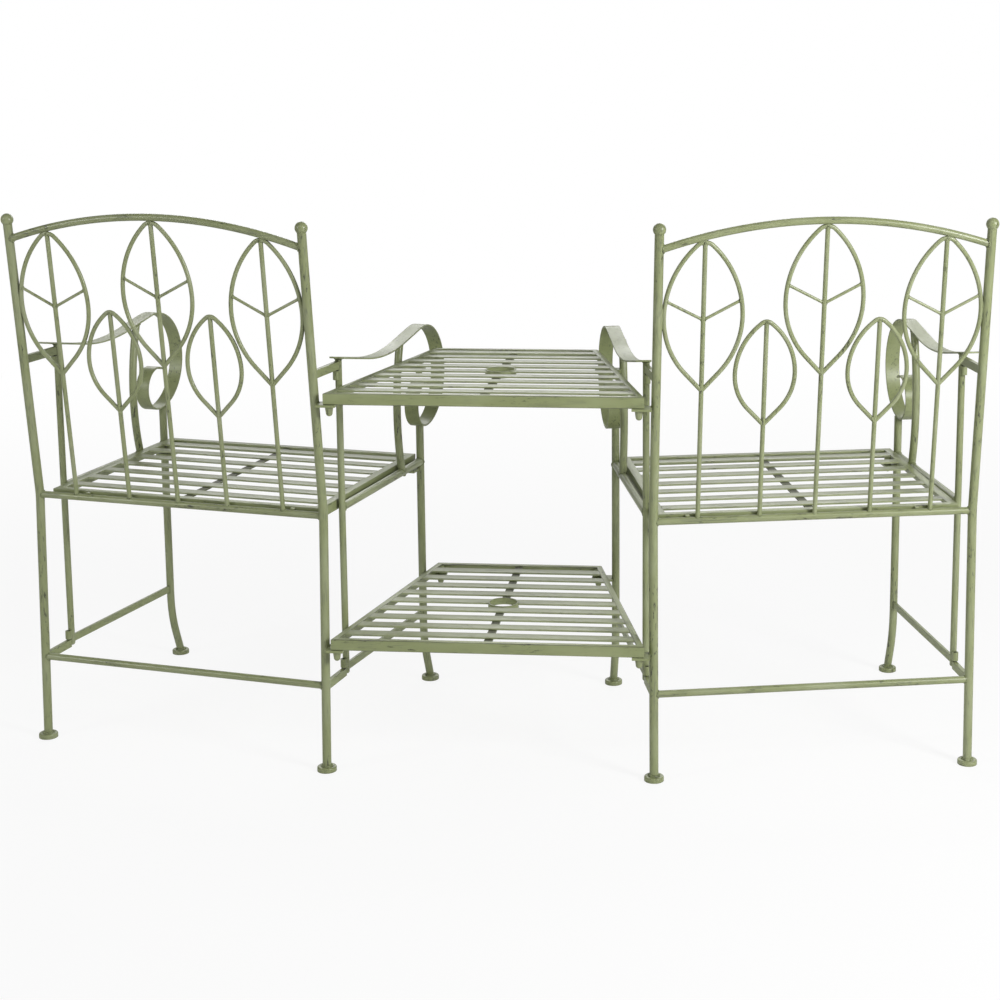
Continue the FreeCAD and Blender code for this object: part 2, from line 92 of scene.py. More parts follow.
def maths(tree, operation, first, second):
    made = addNode(tree, "ShaderNodeMath", {"operation": operation}, {0: first, 1: second})
    return made.outputs[0]


def blendColour(tree, share, first, second):
    made = addNode(tree, "ShaderNodeMix", {"data_type": "RGBA"},
                   {"Factor": share, "A": first, "B": second})
    return made.outputs["Result"]


def ramp(tree, value, low, high, start=0.0, end=1.0):
    made = addNode(tree, "ShaderNodeMapRange", {"interpolation_type": "SMOOTHSTEP"},
                   {"Value": value, "From Min": low, "From Max": high,
                    "To Min": start, "To Max": end})
    return made.outputs["Result"]


# Paint: sage green over steel, brushed along each piece, with darker streaks and marks, and
# painted shade where pieces meet

noiseMiddle = 0.5
paintNoises = {    # cycles per metre along the grain and across it
    "clouds": {"along": 9.0, "across": 26.0, "detail": 3.0, "roughness": 0.55},
    "brushing": {"along": 14.0, "across": 420.0, "detail": 4.0, "roughness": 0.6},
    "patches": {"along": 22.0, "across": 95.0, "detail": 3.0, "roughness": 0.6},
    "scuffs": {"along": 60.0, "across": 260.0, "detail": 5.0, "roughness": 0.65},
    "speckle": {"along": 900.0, "across": 900.0, "detail": 2.0, "roughness": 0.5},
}
paintRamps = {     # between which values an effect sets in, and its share at both
    "pale": {"low": 0.44, "high": 0.66, "start": 0.0, "end": 0.75},
    "fineStreaks": {"low": 0.44, "high": 0.66},
    "wideStreaks": {"low": 0.46, "high": 0.62},
    "scratches": {"low": 0.56, "high": 0.64},
    "scratchedAreas": {"low": 0.39, "high": 0.51, "start": 1.0, "end": 0.0},
    # the next two set the painted shade where pieces meet: its ramp by openness, and its
    # patchiness
    "corners": {"low": 0.30, "high": 0.74, "start": 1.0, "end": 0.0},
    "unevenCornerShade": {"low": 0.36, "high": 0.60, "start": 0.45, "end": 1.0},
}
paintSurface = {
    "cornerShadeReach": 0.007,      # how far from a corner the painted shade reaches
    "cornerShadeSamples": 8,
    "satinChange": 0.25, "streaksDull": 0.18,
    "brushRelief": 0.6, "speckleRelief": 0.4,
}


def makeBrushedPaint():
    tree = bpy.data.node_groups.new("brushedPaint", "ShaderNodeTree")
    # the darkest colour input serves both the marks and the painted shade where pieces meet; a
    # float input sets that painted shade's strength
    addSockets(tree, "INPUT", {
        "Grain Vector": "Vector", "Paint": "Color", "Pale": "Color", "Streak": "Color",
        "Mark And Shade": "Color", "Streaks": "Float", "Marks": "Float", "Corner Shade": "Float",
        "Satin": "Float"})
    addSockets(tree, "OUTPUT", {"Color": "Color", "Roughness": "Float", "Height": "Float"})
    given = addNode(tree, "NodeGroupInput").outputs

    def grainNoise(along, across, detail, roughness):
        mapped = addNode(tree, "ShaderNodeMapping", None,
                         {"Vector": given["Grain Vector"], "Scale": (along, across, across)})
        made = addNode(tree, "ShaderNodeTexNoise", None,
                       {"Vector": mapped.outputs["Vector"], "Scale": 1.0, "Detail": detail,
                        "Roughness": roughness})
        return made.outputs["Fac"]

    def shown(effect, value):
        return ramp(tree, value, **paintRamps[effect])

    def times(first, second):
        return maths(tree, "MULTIPLY", first, second)

    noise = {name: grainNoise(**sizes) for name, sizes in paintNoises.items()}
    coat = blendColour(tree, shown("pale", noise["clouds"]), given["Paint"], given["Pale"])
    streaks = times(shown("fineStreaks", noise["brushing"]),
                    shown("wideStreaks", noise["patches"]))
    streakShare = times(streaks, given["Streaks"])
    streaked = blendColour(tree, streakShare, coat, given["Streak"])
    scratches = times(shown("scratches", noise["scuffs"]),
                      shown("scratchedAreas", noise["clouds"]))
    marked = blendColour(tree, times(scratches, given["Marks"]), streaked, given["Mark And Shade"])
    # painted shade: the colour darkens towards the darkest paint colour where pieces meet, found
    # by ambient occlusion and made patchy by noise
    openness = addNode(tree, "ShaderNodeAmbientOcclusion",
                       {"samples": paintSurface["cornerShadeSamples"]},
                       {"Distance": paintSurface["cornerShadeReach"]})
    grimeAndShade = times(shown("corners", openness.outputs["AO"]),
                  shown("unevenCornerShade", noise["scuffs"]))
    colour = blendColour(tree, times(grimeAndShade, given["Corner Shade"]), marked, given["Mark And Shade"])

    cloudChange = maths(tree, "SUBTRACT", noise["clouds"], noiseMiddle)
    rougher = times(cloudChange, paintSurface["satinChange"])
    satin = maths(tree, "ADD", given["Satin"], rougher)
    roughness = maths(tree, "ADD", satin, times(streakShare, paintSurface["streaksDull"]))
    height = maths(tree, "ADD", times(noise["brushing"], paintSurface["brushRelief"]),
                   times(noise["speckle"], paintSurface["speckleRelief"]))
    addNode(tree, "NodeGroupOutput", None,
            {"Color": colour, "Roughness": roughness, "Height": height})
    return tree


brushedPaint = makeBrushedPaint()

# each paint's darkest colour is used for its marks and for the painted shade where pieces meet; a
# share per paint sets how strong that painted shade is
paints = {
    "tube": {"Paint": (0.240, 0.269, 0.130, 1), "Pale": (0.290, 0.318, 0.182, 1),
             "Streak": (0.130, 0.142, 0.090, 1), "Mark And Shade": (0.035, 0.036, 0.024, 1),
             "Streaks": 0.65, "Marks": 0.90, "Corner Shade": 0.60, "Satin": 0.33},
    "wire": {"Paint": (0.248, 0.278, 0.138, 1), "Pale": (0.295, 0.322, 0.188, 1),
             "Streak": (0.150, 0.162, 0.102, 1), "Mark And Shade": (0.040, 0.041, 0.028, 1),
             "Streaks": 0.40, "Marks": 0.80, "Corner Shade": 0.75, "Satin": 0.31},
    "slat": {"Paint": (0.250, 0.278, 0.145, 1), "Pale": (0.310, 0.338, 0.205, 1),
             "Streak": (0.165, 0.170, 0.130, 1), "Mark And Shade": (0.045, 0.045, 0.032, 1),
             "Streaks": 0.60, "Marks": 0.55, "Corner Shade": 0.40, "Satin": 0.38},
    "flat": {"Paint": (0.243, 0.275, 0.127, 1), "Pale": (0.280, 0.312, 0.160, 1),
             "Streak": (0.150, 0.164, 0.096, 1), "Mark And Shade": (0.035, 0.036, 0.024, 1),
             "Streaks": 0.45, "Marks": 0.70, "Corner Shade": 0.20, "Satin": 0.38},
    # straps under the panels and seats: the sage paint darkened, painted shade for the shade that
    # falls under them
    "shadedUnder": {"Paint": (0.070, 0.078, 0.036, 1), "Pale": (0.110, 0.120, 0.060, 1),
              "Streak": (0.040, 0.042, 0.028, 1), "Mark And Shade": (0.020, 0.020, 0.014, 1),
              "Streaks": 0.90, "Marks": 1.0, "Corner Shade": 0.80, "Satin": 0.62},
    "softEdge": {"Paint": (0.200, 0.225, 0.108, 1), "Pale": (0.280, 0.312, 0.170, 1),
                 "Streak": (0.090, 0.096, 0.060, 1), "Mark And Shade": (0.026, 0.026, 0.018, 1),
                 "Streaks": 0.90, "Marks": 1.0, "Corner Shade": 0.30, "Satin": 0.40},
    "wornEdge": {"Paint": (0.125, 0.138, 0.072, 1), "Pale": (0.270, 0.300, 0.165, 1),
                 "Streak": (0.080, 0.085, 0.055, 1), "Mark And Shade": (0.026, 0.026, 0.018, 1),
                 "Streaks": 1.0, "Marks": 1.0, "Corner Shade": 0.80, "Satin": 0.42},
    # weld beads: the sage paint darkened, painted shade for the crevices where pieces meet, with
    # streaks and marks of wear
    "shadedWeld": {"Paint": (0.180, 0.205, 0.095, 1), "Pale": (0.250, 0.280, 0.145, 1),
             "Streak": (0.070, 0.075, 0.048, 1), "Mark And Shade": (0.018, 0.018, 0.012, 1),
             "Streaks": 1.0, "Marks": 1.0, "Corner Shade": 0.50, "Satin": 0.46},
}
bumpDepth = 0.00006
bumpStrength = {"tube": 0.12, "wire": 0.08, "slat": 0.08, "flat": 0.10, "shadedUnder": 0.30,
                "softEdge": 0.20, "wornEdge": 0.30, "shadedWeld": 0.60}


def newMaterial(name):
    made = bpy.data.materials.new(name)
    made.use_nodes = True
    return made, made.node_tree


def paintMaterial(name, paint, grain):
    # grain: how the object's coordinates turn so that x runs along the brushing,
    # or None where the piece carries its own grain as an attribute
    made, tree = newMaterial(name)
    if grain is None:
        source = addNode(tree, "ShaderNodeAttribute", {"attribute_name": "grain"})
    else:
        place = addNode(tree, "ShaderNodeTexCoord")
        source = addNode(tree, "ShaderNodeMapping", None,
                         {"Vector": place.outputs["Object"], "Rotation": grain})
    brushed = addNode(tree, "ShaderNodeGroup", {"node_tree": brushedPaint},
                      {**paints[paint], "Grain Vector": source.outputs["Vector"]})
    bump = addNode(tree, "ShaderNodeBump", None,
                   {"Strength": bumpStrength[paint], "Distance": bumpDepth,
                    "Height": brushed.outputs["Height"]})
    shader = tree.nodes["Principled BSDF"]
    join(tree, brushed.outputs["Color"], shader.inputs["Base Color"])
    join(tree, brushed.outputs["Roughness"], shader.inputs["Roughness"])
    join(tree, bump.outputs["Normal"], shader.inputs["Normal"])
    return made


pinSteelLook = {
    "noise": {"Scale": 350.0, "Detail": 4.0},
    "tones": ((0.35, (0.035, 0.033, 0.026, 1)), (0.70, (0.16, 0.155, 0.13, 1))),
    "roughness": {"low": 0.3, "high": 0.7, "start": 0.62, "end": 0.42},
}


def dullSteel():
    made, tree = newMaterial("dullSteel")
    shader = tree.nodes["Principled BSDF"]
    shader.inputs["Metallic"].default_value = 1.0
    place = addNode(tree, "ShaderNodeTexCoord")
    # the pin steel's darker and lighter tones vary at random by noise
    grimeAndShade = addNode(tree, "ShaderNodeTexNoise", None,
                    {**pinSteelLook["noise"], "Vector": place.outputs["Object"]}).outputs["Fac"]
    tones = addNode(tree, "ShaderNodeValToRGB", None, {"Fac": grimeAndShade})
    for stop, (position, colour) in zip(tones.color_ramp.elements, pinSteelLook["tones"]):
        stop.position = position
        stop.color = colour
    join(tree, tones.outputs["Color"], shader.inputs["Base Color"])
    join(tree, ramp(tree, grimeAndShade, **pinSteelLook["roughness"]), shader.inputs["Roughness"])
    return made


quarterTurn = math.pi / 2
grains = {"up": (0.0, quarterTurn, 0.0), "across": (0.0, 0.0, 0.0)}
for sideName, side in sides.items():
    turn = side * bench["splay"]
    grains[sideName + "Across"] = (0.0, 0.0, turn)
    grains[sideName + "Forward"] = (0.0, 0.0, turn + quarterTurn)
tubePaints = {name: paintMaterial("tubePaint_" + name, "tube", grain)
              for name, grain in grains.items() if name != "across"}
slatPaints = {name: paintMaterial("slatPaint_" + name, "slat", grain)
              for name, grain in grains.items() if name.endswith(("across", "Across"))}
wirePaint = paintMaterial("wirePaint", "wire", grains["up"])
flatPaint = paintMaterial("flatBarPaint", "flat", None)
shadedUnderPaint = paintMaterial("shadedUndersidePaint", "shadedUnder", None)
edgePaint = paintMaterial("softEdgePaint", "softEdge", None)
wornPaint = paintMaterial("wornEdgePaint", "wornEdge", None)
shadedWeldPaint = paintMaterial("shadedWeldPaint", "shadedWeld", grains["up"])
pinSteel = dullSteel()
print("paints made")


# Tubes, wires, discs and pins keep their own shape and get their finish

tubeGrains = {
    "back_posts": "up", "post_finials": "up", "foot_discs": "up", "rear_uprights": "up",
    "front_legs": "up", "arm_supports": "up", "hinge_sockets": "up", "seat_pegs": "up",
    "top_rail": "Across", "seat_level_rail": "Across", "low_rear_stretcher": "Across",
    "side_seat_rails": "Forward",
}
wirePieces = ("leaf_stems", "leaf_veins", "tall_leaves", "short_leaves")


def finishNode(node, material):
    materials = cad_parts[node].data.materials
    materials.clear()
    materials.append(material)


for sideName in sides:
    for piece, grain in tubeGrains.items():
        paint = tubePaints[grain if grain == "up" else sideName + grain]
        finishNode(sideName + "_" + piece, paint)
    for piece in wirePieces:
        finishNode(sideName + "_" + piece, wirePaint)
    finishNode(sideName + "_hinge_pins", pinSteel)
for panelName in panelBodies:
    finishNode(panelName + "_pegs", tubePaints["up"])
print("tubes and wires painted")


# Flat bars, plates and angle rails: the same solids with softened, worn edges

meshRepair = {
    "mergeReach": 2e-6,       # corners of loose triangles that are one corner
    "flatTurn": math.radians(0.6),
}
sharpTurn = math.radians(38)     # an edge that turns more is a real edge of the piece
smoothTurn = math.radians(20)    # a bevel's small faces shade smooth up to here


def nodeMesh(node):
    # the node's mesh with its loose triangles joined and its flat faces made whole
    made = bmesh.new()
    made.from_mesh(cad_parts[node].data)
    bmesh.ops.remove_doubles(made, verts=made.verts, dist=meshRepair["mergeReach"])
    bmesh.ops.dissolve_limit(made, angle_limit=meshRepair["flatTurn"],
                             verts=made.verts, edges=made.edges)
    return made


def linkedGroups(parts, neighbours):
    # the parts in lists: each list holds all that its first part is linked to
    seen = set()
    groups = []
    for start in parts:
        if start.index in seen:
            continue
        waiting = [start]
        seen.add(start.index)
        group = []
        while waiting:
            part = waiting.pop()
            group.append(part)
            for other in neighbours(part):
                if other.index not in seen:
                    seen.add(other.index)
                    waiting.append(other)
        groups.append(group)
    return groups


def cornersBeside(corner):
    return [edge.other_vert(corner) for edge in corner.link_edges]


def facesBeside(face):
    # where two mitred bars meet, their shared edge has a third face, so a bar ends there
    return [other for edge in face.edges if len(edge.link_faces) == 2
            for other in edge.link_faces]


def longDirection(points):
    # the direction between the two ends of a bar, found from its farthest corners
    first = points[0]
    far = max(points, key=lambda point: (point - first).length_squared)
    other = max(points, key=lambda point: (point - far).length_squared)
    return (far - other).normalized()


grainPatch = (1.7, 0.9, 0.4)    # the pattern moves on by this from bar to bar
leastCross = 0.3                # below it, a bar stands nearly upright


def storeGrain(mesh):
    # each bar gets coordinates with x along it, and its own patch of the pattern
    made = bmesh.new()
    made.from_mesh(mesh)
    made.faces.index_update()
    grain = mesh.attributes.new("grain", "FLOAT_VECTOR", "CORNER")
    for number, group in enumerate(linkedGroups(made.faces, facesBeside)):
        along = longDirection([vertex.co for face in group for vertex in face.verts])
        across = along.cross(Vector((0, 0, 1)))
        if across.length < leastCross:
            across = along.cross(Vector((0, 1, 0)))
        across.normalize()
        third = along.cross(across)
        patch = Vector([step * number for step in grainPatch])
        for face in group:
            for index, vertex in zip(mesh.polygons[face.index].loop_indices, face.verts):
                turned = Vector([vertex.co.dot(axis) for axis in (along, across, third)])
                grain.data[index].vector = turned + patch
    made.free()


def dropInnerFaces(mesh):
    # where two mitred rails meet, the face between them lies inside the skin
    made = bmesh.new()
    made.from_mesh(mesh)
    inner = [face for face in made.faces if all(len(edge.link_faces) > 2 for edge in face.edges)]
    bmesh.ops.delete(made, geom=inner, context="FACES_ONLY")
    made.to_mesh(mesh)
    made.free()


def plainMesh(name, made):
    # a mesh from the given faces and edges, which are let go
    mesh = bpy.data.meshes.new(name)
    made.to_mesh(mesh)
    made.free()
    return mesh


def newObject(name, mesh, materials):
    made = bpy.data.objects.new(name, mesh)
    bpy.context.scene.collection.objects.link(made)
    mesh.materials.clear()
    for material in materials:
        mesh.materials.append(material)
    return made


def evaluatedMesh(item):
    # the object's mesh with its modifiers worked in
    bpy.context.view_layer.update()
    ready = item.evaluated_get(bpy.context.evaluated_depsgraph_get())
    return bpy.data.meshes.new_from_object(ready)


def softened(name, node, edgeWidth, body, edges=edgePaint):
    mesh = plainMesh(name, nodeMesh(node))
    # straps get the darkened paint, painted shade for their place under the panels and seats
    item = newObject(name, mesh, [shadedUnderPaint if node.endswith("strap") else flatPaint, edges])
    bevel = item.modifiers.new("softEdge", "BEVEL")
    bevel.width = edgeWidth
    bevel.segments = 2
    bevel.limit_method = "ANGLE"
    bevel.angle_limit = sharpTurn
    bevel.material = 1
    ready = evaluatedMesh(item)
    item.modifiers.clear()
    item.data = ready
    storeGrain(ready)
    dropInnerFaces(ready)
    ready.shade_smooth()
    ready.set_sharp_from_angle(angle=smoothTurn)
    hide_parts(node)
    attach(item, body)


softEdges = {
    "arm_strips": 0.0007, "low_side_stretchers": 0.0006, "bracket_bars": 0.0007,
    "peg_lugs": 0.0006,
}
seatEdges = {"seat_frame": 0.0008, "seat_strap": 0.0004, "seat_hooks": 0.0005}
panelEdges = {"frame": 0.0012, "strap": 0.0004, "ring": 0.0006}

for sideName in sides:
    for body, widths in (("frame", softEdges), (sideName + "_seat", seatEdges)):
        for piece, width in widths.items():
            softened(sideName + "_" + piece + "_bars", sideName + "_" + piece, width, body)
for panelName, body in panelBodies.items():
    for piece, width in panelEdges.items():
        softened(panelName + "_" + piece + "_bars", panelName + "_" + piece, width, body,
                 wornPaint)
print("flat bars softened")


# Helpers for the trees that lay out slats and weld beads

def newShapeTree(name, inputs):
    tree = bpy.data.node_groups.new(name, "GeometryNodeTree")
    addSockets(tree, "INPUT", {"Geometry": "Geometry", **inputs, "Material": "Material"})
    addSockets(tree, "OUTPUT", {"Geometry": "Geometry"})
    return tree, addNode(tree, "NodeGroupInput").outputs


def finishTree(tree, geometry, material):
    real = addNode(tree, "GeometryNodeRealizeInstances", None, {"Geometry": geometry})
    painted = addNode(tree, "GeometryNodeSetMaterial", None,
                      {"Geometry": real.outputs["Geometry"], "Material": material})
    addNode(tree, "NodeGroupOutput", None, {"Geometry": painted.outputs["Geometry"]})
    return tree


def runTree(name, tree, values, startMesh=None):
    # one object through a tree, returned as a plain mesh
    item = bpy.data.objects.new(name, startMesh or bpy.data.meshes.new(name + "Start"))
    bpy.context.scene.collection.objects.link(item)
    modifier = item.modifiers.new("tree", "NODES")
    modifier.node_group = tree
    sockets = {socket.name: socket.identifier for socket in tree.interface.items_tree
               if socket.item_type == "SOCKET" and socket.in_out == "INPUT"}
    for key, value in values.items():
        modifier[sockets[key]] = value
    mesh = evaluatedMesh(item)
    item.modifiers.clear()
    bpy.data.objects.remove(item)
    mesh.name = name
    return mesh


# Slats, laid out by one tree

seatSlats = {
    "Count": 7, "Pitch": 0.0556, "Middle": -0.221, "Width": 0.024, "Thickness": 0.003,
    "Edge Round": 0.0009, "Front Half Length": 0.24275, "Rear Half Length": 0.23975,
    "Front": -0.434, "Rear": -0.0065, "Ring Radius": 0.027, "Ring Middle": 0.0,
    "Broken By Ring": False,
}
seatMiddle = {"x": 0.26265, "lean": -0.015205}    # a seat's middle line: x at y = 0, x over y
panelSlats = {
    "table": {"Count": 9, "Pitch": 0.0468, "Middle": -0.187, "frontHalf": 0.1515,
              "rearHalf": 0.261},
    "shelf": {"Count": 9, "Pitch": 0.0475, "Middle": -0.2015, "frontHalf": 0.156,
              "rearHalf": 0.261},
}
panelFlange = 0.011
slatBuild = {
    "roundSteps": 3,
    "wellSides": 64,
    "wellDepth": 8.0,    # of the cut for the ring, in slat thicknesses
}


def makeSlatTree():
    lengths = ("Pitch", "Middle", "Width", "Thickness", "Edge Round", "Front Half Length",
               "Rear Half Length", "Front", "Rear", "Top", "Ring Radius", "Ring Middle")
    tree, given = newShapeTree("slatRow", {
        "Count": "Int", **dict.fromkeys(lengths, "Float"), "Broken By Ring": "Bool"})

    def vector(**parts):
        return addNode(tree, "ShaderNodeCombineXYZ", None, parts).outputs["Vector"]

    # one rounded bar, from -1 to 1 along x
    line = addNode(tree, "GeometryNodeCurvePrimitiveLine", None,
                   {"Start": (-1.0, 0.0, 0.0), "End": (1.0, 0.0, 0.0)})
    outline = addNode(tree, "GeometryNodeCurvePrimitiveQuadrilateral", None,
                      {"Width": given["Width"], "Height": given["Thickness"]})
    rounded = addNode(tree, "GeometryNodeFilletCurve", {"mode": "POLY"},
                      {"Curve": outline.outputs["Curve"], "Radius": given["Edge Round"],
                       "Count": slatBuild["roundSteps"]})
    bar = addNode(tree, "GeometryNodeCurveToMesh", None,
                  {"Curve": line.outputs["Curve"], "Profile Curve": rounded.outputs["Curve"],
                   "Fill Caps": True})

    # the row, from its first bar on
    steps = maths(tree, "SUBTRACT", given["Count"], 1.0)
    halfRow = maths(tree, "MULTIPLY", maths(tree, "MULTIPLY", steps, 0.5), given["Pitch"])
    firstY = maths(tree, "SUBTRACT", given["Middle"], halfRow)
    row = addNode(tree, "GeometryNodeMeshLine", {"mode": "OFFSET"},
                  {"Count": given["Count"], "Start Location": vector(Y=firstY),
                   "Offset": vector(Y=given["Pitch"])})
    laid = addNode(tree, "GeometryNodeInstanceOnPoints", None,
                   {"Points": row.outputs["Mesh"], "Instance": bar.outputs["Mesh"]})
    real = addNode(tree, "GeometryNodeRealizeInstances", None,
                   {"Geometry": laid.outputs["Instances"]})

    # the bars' ends follow the side rails: x is a share of the half length at that y
    place = addNode(tree, "GeometryNodeInputPosition")
    parts = addNode(tree, "ShaderNodeSeparateXYZ", None,
                    {"Vector": place.outputs["Position"]}).outputs
    halfLength = addNode(tree, "ShaderNodeMapRange", {"clamp": False},
                         {"Value": parts["Y"], "From Min": given["Front"],
                          "From Max": given["Rear"], "To Min": given["Front Half Length"],
                          "To Max": given["Rear Half Length"]})
    halfThick = maths(tree, "MULTIPLY", given["Thickness"], 0.5)
    centreZ = maths(tree, "SUBTRACT", given["Top"], halfThick)
    moved = vector(X=maths(tree, "MULTIPLY", parts["X"], halfLength.outputs["Result"]),
                   Y=parts["Y"], Z=maths(tree, "ADD", parts["Z"], centreZ))
    fitted = addNode(tree, "GeometryNodeSetPosition", None,
                     {"Geometry": real.outputs["Geometry"],
                      "Position": moved}).outputs["Geometry"]

    # the parasol ring's well cuts the slats that it meets
    depth = maths(tree, "MULTIPLY", given["Thickness"], slatBuild["wellDepth"])
    well = addNode(tree, "GeometryNodeMeshCylinder", None,
                   {"Vertices": slatBuild["wellSides"], "Radius": given["Ring Radius"],
                    "Depth": depth})
    wellMoved = addNode(tree, "GeometryNodeTransform", None,
                        {"Geometry": well.outputs["Mesh"],
                         "Translation": vector(Y=given["Ring Middle"], Z=given["Top"])})
    cut = addNode(tree, "GeometryNodeMeshBoolean", {"operation": "DIFFERENCE"},
                  {"Mesh 1": fitted, "Mesh 2": wellMoved.outputs["Geometry"]})
    chosen = addNode(tree, "GeometryNodeSwitch", {"input_type": "GEOMETRY"},
                     {"Switch": given["Broken By Ring"], "False": fitted,
                      "True": cut.outputs["Mesh"]})
    return finishTree(tree, chosen.outputs["Output"], given["Material"])


slatTree = makeSlatTree()


def makeSlats(name, node, body, values, place, material):
    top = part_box(node)[1].z
    mesh = runTree(name, slatTree, dict(values, Top=top, Material=material))
    mesh.transform(place)
    if place.determinant() < 0:
        mesh.flip_normals()
    mesh.shade_smooth()
    mesh.set_sharp_from_angle(angle=smoothTurn)
    item = newObject(name, mesh, [material])
    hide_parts(node)
    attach(item, body)


middle = Matrix.Translation((seatMiddle["x"], 0, 0))
middle[0][1] = seatMiddle["lean"]
for sideName, side in sides.items():
    makeSlats(sideName + "_seat_slat_row", sideName + "_seat_slats", sideName + "_seat",
              seatSlats, chairMatrix(side) @ middle, slatPaints[sideName + "Across"])
for panelName, body in panelBodies.items():
    sizes = panelSlats[panelName]
    low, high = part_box(panelName + "_frame")
    slope = math.atan2(sizes["rearHalf"] - sizes["frontHalf"], high.y - low.y)
    flange = panelFlange / math.cos(slope)
    values = {
        **seatSlats,
        "Count": sizes["Count"], "Pitch": sizes["Pitch"], "Middle": sizes["Middle"] + postLineY,
        "Front": low.y, "Front Half Length": sizes["frontHalf"] - flange,
        "Rear": high.y, "Rear Half Length": sizes["rearHalf"] - flange,
        "Broken By Ring": True, "Ring Middle": postLineY - bench["ringForward"],
    }
    makeSlats(panelName + "_slat_row", panelName + "_slats", body, values, Matrix(),
              slatPaints["across"])
print("slats laid")


# Weld beads, swept along the lines where one piece's cut end meets another piece

beadBuild = {"sides": 7, "step": 0.0011, "lumpDetail": 1.0}
weldPairs = {    # each piece with the pieces that carry it
    "tubeWelds": {"radius": 0.0017, "uneven": 0.9, "lump": 0.0035, "pairs": {
        "low_rear_stretcher": ["back_posts"], "seat_level_rail": ["back_posts"],
        "top_rail": ["back_posts"], "side_seat_rails": ["rear_uprights", "front_legs"],
        "arm_supports": ["side_seat_rails", "arm_strips"], "rear_uprights": ["arm_strips"],
        "front_legs": ["arm_strips"]}},
    "footWelds": {"radius": 0.0030, "uneven": 1.3, "lump": 0.0040, "pairs": {
        "front_legs": ["foot_discs"], "back_posts": ["foot_discs"]}},
    "wireWelds": {"radius": 0.0012, "uneven": 1.0, "lump": 0.0030, "pairs": {
        "tall_leaves": ["back_posts", "top_rail"], "short_leaves": ["tall_leaves"],
        "leaf_stems": ["seat_level_rail", "tall_leaves", "short_leaves"],
        "leaf_veins": ["tall_leaves", "leaf_stems"]}},
    "barWelds": {"radius": 0.0013, "uneven": 1.0, "lump": 0.0032, "pairs": {
        "low_side_stretchers": ["rear_uprights", "front_legs"], "bracket_bars": ["back_posts"],
        "hinge_sockets": ["rear_uprights"],
        "peg_lugs": ["back_posts", "front_legs", "arm_supports", "side_seat_rails"]}},
}
weldSeeds = {"left": 3.0, "right": 7.0}
seamReach = 0.00028    # how near a piece's sharp edge has to lie to another piece's skin
chainReach = 2e-5      # seam edges whose ends are nearer than this are chained


def makeBeadTree():
    tree, given = newShapeTree("weldBead", dict.fromkeys(
        ("Bead Radius", "Step", "Unevenness", "Lump Size", "Seed"), "Float"))
    seams = addNode(tree, "GeometryNodeMeshToCurve", None, {"Mesh": given["Geometry"]})
    stepped = addNode(tree, "GeometryNodeResampleCurve", {"mode": "LENGTH"},
                      {"Curve": seams.outputs["Curve"], "Length": given["Step"]})
    place = addNode(tree, "GeometryNodeInputPosition")
    lumps = addNode(tree, "ShaderNodeTexNoise", {"noise_dimensions": "4D"},
                    {"Vector": place.outputs["Position"], "W": given["Seed"],
                     "Scale": maths(tree, "DIVIDE", 1.0, given["Lump Size"]),
                     "Detail": beadBuild["lumpDetail"]})
    centred = maths(tree, "SUBTRACT", lumps.outputs["Fac"], noiseMiddle)
    share = maths(tree, "ADD", 1.0, maths(tree, "MULTIPLY", centred, given["Unevenness"]))
    section = addNode(tree, "GeometryNodeCurvePrimitiveCircle", None,
                      {"Resolution": beadBuild["sides"], "Radius": 1.0})
    bead = addNode(tree, "GeometryNodeCurveToMesh", None,
                   {"Curve": stepped.outputs["Curve"], "Profile Curve": section.outputs["Curve"],
                    "Scale": maths(tree, "MULTIPLY", share, given["Bead Radius"]),
                    "Fill Caps": True})
    return finishTree(tree, bead.outputs["Mesh"], given["Material"])


beadTree = makeBeadTree()


def solidSkins(node):
    # a search tree and a box for each separate solid of a node
    made = nodeMesh(node)
    bmesh.ops.triangulate(made, faces=made.faces)
    made.verts.ensure_lookup_table()
    made.verts.index_update()
    skins = []
    for group in linkedGroups(made.verts, cornersBeside):
        number = {vertex.index: i for i, vertex in enumerate(group)}
        faces = {face for vertex in group for face in vertex.link_faces}
        points = [vertex.co.copy() for vertex in group]
        corners = [[number[vertex.index] for vertex in face.verts] for face in faces]
        low = Vector([min(point[axis] for point in points) for axis in range(3)])
        high = Vector([max(point[axis] for point in points) for axis in range(3)])
        skins.append((BVHTree.FromPolygons(points, corners), low, high))
    made.free()
    return skins


def onSkin(points, skin, low, high):
    # whether all the points lie on a solid: first by its box, then by its faces
    for point in points:
        if not all(low[axis] - seamReach < point[axis] < high[axis] + seamReach
                   for axis in range(3)):
            return False
    return all(skin.find_nearest(point, seamReach)[0] is not None for point in points)


def seamEdges(node, skins):
    # the node's sharp edges that lie on another piece
    made = nodeMesh(node)
    found = []
    for edge in made.edges:
        if len(edge.link_faces) != 2 or edge.calc_face_angle(0.0) < sharpTurn:
            continue
        first, second = (vertex.co.copy() for vertex in edge.verts)
        points = [first, second, (first + second) / 2]
        if any(onSkin(points, *skin) for skin in skins):
            found.append((first, second))
    made.free()
    return found


def seamMesh(name, edges):
    # the edges as one mesh, chained where their ends meet
    made = bmesh.new()
    for first, second in edges:
        made.edges.new((made.verts.new(first), made.verts.new(second)))
    bmesh.ops.remove_doubles(made, verts=made.verts, dist=chainReach)
    return plainMesh(name, made)


def weldRow(name, edges, sizes, body, seed):
    values = {"Bead Radius": sizes["radius"], "Step": beadBuild["step"],
              "Unevenness": sizes["uneven"], "Lump Size": sizes["lump"], "Seed": seed,
              "Material": shadedWeldPaint}
    mesh = runTree(name, beadTree, values, seamMesh(name + "Seams", edges))
    mesh.shade_smooth()
    item = newObject(name, mesh, [shadedWeldPaint])
    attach(item, body)


